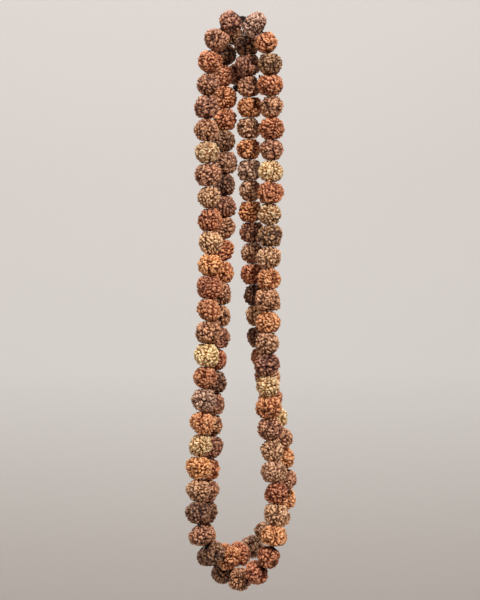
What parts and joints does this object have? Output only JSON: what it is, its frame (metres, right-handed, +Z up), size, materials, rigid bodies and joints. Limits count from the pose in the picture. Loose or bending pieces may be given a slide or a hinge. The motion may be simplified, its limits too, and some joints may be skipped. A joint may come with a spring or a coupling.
{
  "type": "mala prayer beads",
  "caption": "Loop of round furrowed seed beads strung on one dark thread, wound twice and hung over a nail, with a guru bead on its own short thread at the closing knot.",
  "frame": {"origin": "point on the hanging nail's axis under which the doubled loop hangs, midway between the front pair of strands and the back pair", "axes": "+Z up along the hanging strands, +X to the right of a viewer in front, +Y away from that viewer along the nail's axis"},
  "size_m": [0.0411, 0.0341, 0.215],
  "materials": {
    "thread": "twisted waxed thread, near black brown",
    "seed_umber": "dark umber seed, dry and matt in the furrows",
    "seed_chestnut": "chestnut seed, slightly waxy on the crests",
    "seed_rust": "red-brown seed, slightly waxy on the crests",
    "seed_orange": "orange-copper seed, slightly waxy on the crests",
    "seed_tan": "tan seed with brown furrows",
    "seed_straw": "pale straw seed with brown furrows",
    "seed_ash": "greyed brown seed, dry and matt"
  },
  "bodies": {
    "thread_loop": {"cord": "thread", "closing_knot": "thread"},
    "guru_swing": {"guru_thread": "thread", "guru_knot": "thread", "thread_ends": "thread"},
    "guru_bead": {"guru_bead": "seed_chestnut"},
    "back_left_top_1": {"back_left_top_1": "seed_umber"},
    "back_left_top_2": {"back_left_top_2": "seed_umber"},
    "back_left_1": {"back_left_1": "seed_orange"},
    "back_left_2": {"back_left_2": "seed_rust"},
    "back_left_3": {"back_left_3": "seed_umber"},
    "back_left_4": {"back_left_4": "seed_chestnut"},
    "back_left_5": {"back_left_5": "seed_chestnut"},
    "back_left_6": {"back_left_6": "seed_rust"},
    "back_left_7": {"back_left_7": "seed_chestnut"},
    "back_left_8": {"back_left_8": "seed_rust"},
    "outer_foot_1": {"outer_foot_1": "seed_chestnut"},
    "outer_foot_2": {"outer_foot_2": "seed_umber"},
    "outer_foot_3": {"outer_foot_3": "seed_umber"},
    "outer_foot_4": {"outer_foot_4": "seed_chestnut"},
    "outer_foot_5": {"outer_foot_5": "seed_rust"},
    "outer_foot_6": {"outer_foot_6": "seed_rust"},
    "front_right_1": {"front_right_1": "seed_orange"},
    "front_right_2": {"front_right_2": "seed_rust"},
    "front_right_3": {"front_right_3": "seed_chestnut"},
    "front_right_4": {"front_right_4": "seed_chestnut"},
    "front_right_5": {"front_right_5": "seed_chestnut"},
    "front_right_6": {"front_right_6": "seed_umber"},
    "front_right_7": {"front_right_7": "seed_straw"},
    "front_right_8": {"front_right_8": "seed_chestnut"},
    "front_right_top_1": {"front_right_top_1": "seed_rust"},
    "front_right_top_2": {"front_right_top_2": "seed_ash"},
    "front_left_top_1": {"front_left_top_1": "seed_chestnut"},
    "front_left_top_2": {"front_left_top_2": "seed_chestnut"},
    "front_left_top_3": {"front_left_top_3": "seed_rust"},
    "front_left_1": {"front_left_1": "seed_chestnut"},
    "front_left_2": {"front_left_2": "seed_chestnut"},
    "front_left_3": {"front_left_3": "seed_tan"},
    "front_left_4": {"front_left_4": "seed_tan"},
    "front_left_5": {"front_left_5": "seed_orange"},
    "front_left_6": {"front_left_6": "seed_straw"},
    "front_left_7": {"front_left_7": "seed_orange"},
    "front_left_8": {"front_left_8": "seed_orange"},
    "front_left_low_1": {"front_left_low_1": "seed_chestnut"},
    "front_left_low_2": {"front_left_low_2": "seed_umber"},
    "inner_foot_1": {"inner_foot_1": "seed_rust"},
    "inner_foot_2": {"inner_foot_2": "seed_rust"},
    "inner_foot_3": {"inner_foot_3": "seed_ash"},
    "inner_foot_4": {"inner_foot_4": "seed_tan"},
    "inner_foot_5": {"inner_foot_5": "seed_orange"},
    "inner_foot_6": {"inner_foot_6": "seed_orange"},
    "inner_foot_7": {"inner_foot_7": "seed_chestnut"},
    "back_right_1": {"back_right_1": "seed_orange"},
    "back_right_2": {"back_right_2": "seed_straw"},
    "back_right_3": {"back_right_3": "seed_rust"},
    "back_right_4": {"back_right_4": "seed_tan"},
    "back_right_5": {"back_right_5": "seed_tan"},
    "back_right_6": {"back_right_6": "seed_tan"},
    "back_right_7": {"back_right_7": "seed_rust"},
    "back_right_8": {"back_right_8": "seed_chestnut"}
  },
  "joints": [
    {"name": "guru_thread_swing", "type": "hinge", "parent": "thread_loop", "child": "guru_swing", "pos_m": [0, 0.0055, 0.0005], "axis": [1, 0, 0], "range_deg": [0, 40]},
    {"name": "guru_bead_spin", "type": "hinge", "parent": "guru_swing", "child": "guru_bead", "pos_m": [-0.00197, 0.01653, -0.01904], "axis": [0.1261, -0.054, 0.9905], "continuous": true},
    {"name": "back_left_top_1_spin", "type": "hinge", "parent": "thread_loop", "child": "back_left_top_1", "pos_m": [-0.00209, 0.00717, -0.00085], "axis": [-0.5008, 0.3241, -0.8026], "continuous": true},
    {"name": "back_left_top_2_spin", "type": "hinge", "parent": "thread_loop", "child": "back_left_top_2", "pos_m": [-0.00635, 0.00992, -0.00768], "axis": [-0.1058, -0.0631, -0.9924], "continuous": true},
    {"name": "back_left_1_spin", "type": "hinge", "parent": "thread_loop", "child": "back_left_1", "pos_m": [-0.00725, 0.00939, -0.01611], "axis": [0.0146, -0.1165, -0.9931], "continuous": true},
    {"name": "back_left_2_spin", "type": "hinge", "parent": "thread_loop", "child": "back_left_2", "pos_m": [-0.00701, 0.00748, -0.0324], "axis": [-0.002, -0.0382, -0.9993], "continuous": true},
    {"name": "back_left_3_spin", "type": "hinge", "parent": "thread_loop", "child": "back_left_3", "pos_m": [-0.00706, 0.00654, -0.05698], "axis": [-0.0154, -0.024, -0.9996], "continuous": true},
    {"name": "back_left_4_spin", "type": "hinge", "parent": "thread_loop", "child": "back_left_4", "pos_m": [-0.00731, 0.00614, -0.07337], "axis": [-0.0407, -0.0177, -0.999], "continuous": true},
    {"name": "back_left_5_spin", "type": "hinge", "parent": "thread_loop", "child": "back_left_5", "pos_m": [-0.00831, 0.00571, -0.09795], "axis": [-0.0596, -0.0083, -0.9982], "continuous": true},
    {"name": "back_left_6_spin", "type": "hinge", "parent": "thread_loop", "child": "back_left_6", "pos_m": [-0.00978, 0.0055, -0.1225], "axis": [-0.0668, -0.0028, -0.9978], "continuous": true},
    {"name": "back_left_7_spin", "type": "hinge", "parent": "thread_loop", "child": "back_left_7", "pos_m": [-0.01087, 0.00546, -0.13887], "axis": [-0.0722, 0.0025, -0.9974], "continuous": true},
    {"name": "back_left_8_spin", "type": "hinge", "parent": "thread_loop", "child": "back_left_8", "pos_m": [-0.01265, 0.00552, -0.1634], "axis": [-0.076, 0.071, -0.9946], "continuous": true},
    {"name": "outer_foot_1_spin", "type": "hinge", "parent": "thread_loop", "child": "outer_foot_1", "pos_m": [-0.01452, 0.00727, -0.18787], "axis": [0.0415, 0.1581, -0.9866], "continuous": true},
    {"name": "outer_foot_2_spin", "type": "hinge", "parent": "thread_loop", "child": "outer_foot_2", "pos_m": [-0.01416, 0.00863, -0.19635], "axis": [0.3807, 0.0299, -0.9242], "continuous": true},
    {"name": "outer_foot_3_spin", "type": "hinge", "parent": "thread_loop", "child": "outer_foot_3", "pos_m": [-0.01089, 0.00888, -0.2043], "axis": [0.756, -0.41, -0.5102], "continuous": true},
    {"name": "outer_foot_4_spin", "type": "hinge", "parent": "thread_loop", "child": "outer_foot_4", "pos_m": [-0.00439, 0.00536, -0.20869], "axis": [0.7546, -0.6523, 0.0716], "continuous": true},
    {"name": "outer_foot_5_spin", "type": "hinge", "parent": "thread_loop", "child": "outer_foot_5", "pos_m": [0.0021, -0.00025, -0.20807], "axis": [0.6339, -0.5211, 0.5716], "continuous": true},
    {"name": "outer_foot_6_spin", "type": "hinge", "parent": "thread_loop", "child": "outer_foot_6", "pos_m": [0.00755, -0.00473, -0.20316], "axis": [0.4159, -0.2086, 0.8852], "continuous": true},
    {"name": "front_right_1_spin", "type": "hinge", "parent": "thread_loop", "child": "front_right_1", "pos_m": [0.01113, -0.00653, -0.19555], "axis": [0.0828, 0.0723, 0.9939], "continuous": true},
    {"name": "front_right_2_spin", "type": "hinge", "parent": "thread_loop", "child": "front_right_2", "pos_m": [0.01245, -0.00538, -0.17974], "axis": [-0.0904, 0.0158, 0.9958], "continuous": true},
    {"name": "front_right_3_spin", "type": "hinge", "parent": "thread_loop", "child": "front_right_3", "pos_m": [0.01029, -0.005, -0.15599], "axis": [-0.0606, -0.0093, 0.9981], "continuous": true},
    {"name": "front_right_4_spin", "type": "hinge", "parent": "thread_loop", "child": "front_right_4", "pos_m": [0.00885, -0.00522, -0.13219], "axis": [0.017, -0.0089, 0.9998], "continuous": true},
    {"name": "front_right_5_spin", "type": "hinge", "parent": "thread_loop", "child": "front_right_5", "pos_m": [0.00925, -0.00544, -0.10834], "axis": [0.0237, 0.0145, 0.9996], "continuous": true},
    {"name": "front_right_6_spin", "type": "hinge", "parent": "thread_loop", "child": "front_right_6", "pos_m": [0.00982, -0.00509, -0.0845], "axis": [0.0196, 0.0053, 0.9998], "continuous": true},
    {"name": "front_right_7_spin", "type": "hinge", "parent": "thread_loop", "child": "front_right_7", "pos_m": [0.01029, -0.00496, -0.06066], "axis": [0.0155, -0.001, 0.9999], "continuous": true},
    {"name": "front_right_8_spin", "type": "hinge", "parent": "thread_loop", "child": "front_right_8", "pos_m": [0.01065, -0.00499, -0.03681], "axis": [-0.0346, -0.0005, 0.9994], "continuous": true},
    {"name": "front_right_top_1_spin", "type": "hinge", "parent": "thread_loop", "child": "front_right_top_1", "pos_m": [0.00983, -0.005, -0.01297], "axis": [-0.3016, 0, 0.9534], "continuous": true},
    {"name": "front_right_top_2_spin", "type": "hinge", "parent": "thread_loop", "child": "front_right_top_2", "pos_m": [0.00733, -0.005, -0.00506], "axis": [-0.7667, 0, 0.642], "continuous": true},
    {"name": "front_left_top_1_spin", "type": "hinge", "parent": "thread_loop", "child": "front_left_top_1", "pos_m": [-0.0008, -0.005, 0.00062], "axis": [-0.8395, 0, -0.5433], "continuous": true},
    {"name": "front_left_top_2_spin", "type": "hinge", "parent": "thread_loop", "child": "front_left_top_2", "pos_m": [-0.00802, -0.005, -0.00405], "axis": [-0.4034, 0.0014, -0.915], "continuous": true},
    {"name": "front_left_top_3_spin", "type": "hinge", "parent": "thread_loop", "child": "front_left_top_3", "pos_m": [-0.01149, -0.00499, -0.01192], "axis": [-0.157, -0.0134, -0.9875], "continuous": true},
    {"name": "front_left_1_spin", "type": "hinge", "parent": "thread_loop", "child": "front_left_1", "pos_m": [-0.01284, -0.0051, -0.02041], "axis": [-0.0362, -0.0195, -0.9992], "continuous": true},
    {"name": "front_left_2_spin", "type": "hinge", "parent": "thread_loop", "child": "front_left_2", "pos_m": [-0.01345, -0.00543, -0.0371], "axis": [0.021, 0.0049, -0.9998], "continuous": true},
    {"name": "front_left_3_spin", "type": "hinge", "parent": "thread_loop", "child": "front_left_3", "pos_m": [-0.01292, -0.00531, -0.06214], "axis": [0.0487, 0.0162, -0.9987], "continuous": true},
    {"name": "front_left_4_spin", "type": "hinge", "parent": "thread_loop", "child": "front_left_4", "pos_m": [-0.01211, -0.00504, -0.07882], "axis": [-0.0101, -0.0057, -0.9999], "continuous": true},
    {"name": "front_left_5_spin", "type": "hinge", "parent": "thread_loop", "child": "front_left_5", "pos_m": [-0.01236, -0.00518, -0.10387], "axis": [-0.0447, -0.0152, -0.9989], "continuous": true},
    {"name": "front_left_6_spin", "type": "hinge", "parent": "thread_loop", "child": "front_left_6", "pos_m": [-0.01311, -0.00543, -0.12055], "axis": [-0.0672, -0.0002, -0.9977], "continuous": true},
    {"name": "front_left_7_spin", "type": "hinge", "parent": "thread_loop", "child": "front_left_7", "pos_m": [-0.01479, -0.00544, -0.14554], "axis": [-0.0843, 0.0068, -0.9964], "continuous": true},
    {"name": "front_left_8_spin", "type": "hinge", "parent": "thread_loop", "child": "front_left_8", "pos_m": [-0.0162, -0.00532, -0.16218], "axis": [-0.0183, -0.0444, -0.9988], "continuous": true},
    {"name": "front_left_low_1_spin", "type": "hinge", "parent": "thread_loop", "child": "front_left_low_1", "pos_m": [-0.01665, -0.00643, -0.18721], "axis": [0.3475, -0.0714, -0.9349], "continuous": true},
    {"name": "front_left_low_2_spin", "type": "hinge", "parent": "thread_loop", "child": "front_left_low_2", "pos_m": [-0.01367, -0.00705, -0.19525], "axis": [0.6637, 0.5144, -0.543], "continuous": true},
    {"name": "inner_foot_1_spin", "type": "hinge", "parent": "thread_loop", "child": "inner_foot_1", "pos_m": [-0.00796, -0.00263, -0.19992], "axis": [0.4945, 0.8691, -0.0094], "continuous": true},
    {"name": "inner_foot_2_spin", "type": "hinge", "parent": "thread_loop", "child": "inner_foot_2", "pos_m": [-0.0037, 0.00485, -0.2], "axis": [0.5199, 0.8497, 0.0872], "continuous": true},
    {"name": "inner_foot_3_spin", "type": "hinge", "parent": "thread_loop", "child": "inner_foot_3", "pos_m": [0.00077, 0.01216, -0.19925], "axis": [0.6176, 0.6977, 0.363], "continuous": true},
    {"name": "inner_foot_4_spin", "type": "hinge", "parent": "thread_loop", "child": "inner_foot_4", "pos_m": [0.00608, 0.01816, -0.19612], "axis": [0.6716, 0.0547, 0.7389], "continuous": true},
    {"name": "inner_foot_5_spin", "type": "hinge", "parent": "thread_loop", "child": "inner_foot_5", "pos_m": [0.01185, 0.01863, -0.18977], "axis": [0.3678, -0.4841, 0.794], "continuous": true},
    {"name": "inner_foot_6_spin", "type": "hinge", "parent": "thread_loop", "child": "inner_foot_6", "pos_m": [0.01502, 0.01447, -0.18294], "axis": [0.1247, -0.5622, 0.8176], "continuous": true},
    {"name": "inner_foot_7_spin", "type": "hinge", "parent": "thread_loop", "child": "inner_foot_7", "pos_m": [0.01609, 0.00963, -0.17591], "axis": [-0.0599, -0.2973, 0.9529], "continuous": true},
    {"name": "back_right_1_spin", "type": "hinge", "parent": "thread_loop", "child": "back_right_1", "pos_m": [0.01557, 0.00707, -0.16772], "axis": [-0.1713, -0.0828, 0.9817], "continuous": true},
    {"name": "back_right_2_spin", "type": "hinge", "parent": "thread_loop", "child": "back_right_2", "pos_m": [0.0129, 0.00578, -0.1524], "axis": [-0.1967, -0.0088, 0.9804], "continuous": true},
    {"name": "back_right_3_spin", "type": "hinge", "parent": "thread_loop", "child": "back_right_3", "pos_m": [0.0083, 0.00558, -0.12946], "axis": [-0.1696, 0.0004, 0.9855], "continuous": true},
    {"name": "back_right_4_spin", "type": "hinge", "parent": "thread_loop", "child": "back_right_4", "pos_m": [0.00565, 0.00558, -0.11409], "axis": [-0.0901, -0.0113, 0.9959], "continuous": true},
    {"name": "back_right_5_spin", "type": "hinge", "parent": "thread_loop", "child": "back_right_5", "pos_m": [0.00354, 0.00532, -0.09078], "axis": [-0.0343, -0.0017, 0.9994], "continuous": true},
    {"name": "back_right_6_spin", "type": "hinge", "parent": "thread_loop", "child": "back_right_6", "pos_m": [0.00274, 0.00528, -0.0674], "axis": [-0.02, -0.0304, 0.9993], "continuous": true},
    {"name": "back_right_7_spin", "type": "hinge", "parent": "thread_loop", "child": "back_right_7", "pos_m": [0.00243, 0.0048, -0.05181], "axis": [0.0044, -0.0722, 0.9974], "continuous": true},
    {"name": "back_right_8_spin", "type": "hinge", "parent": "thread_loop", "child": "back_right_8", "pos_m": [0.00253, 0.00311, -0.02847], "axis": [-0.0577, -0.0191, 0.9982], "continuous": true}
  ]
}
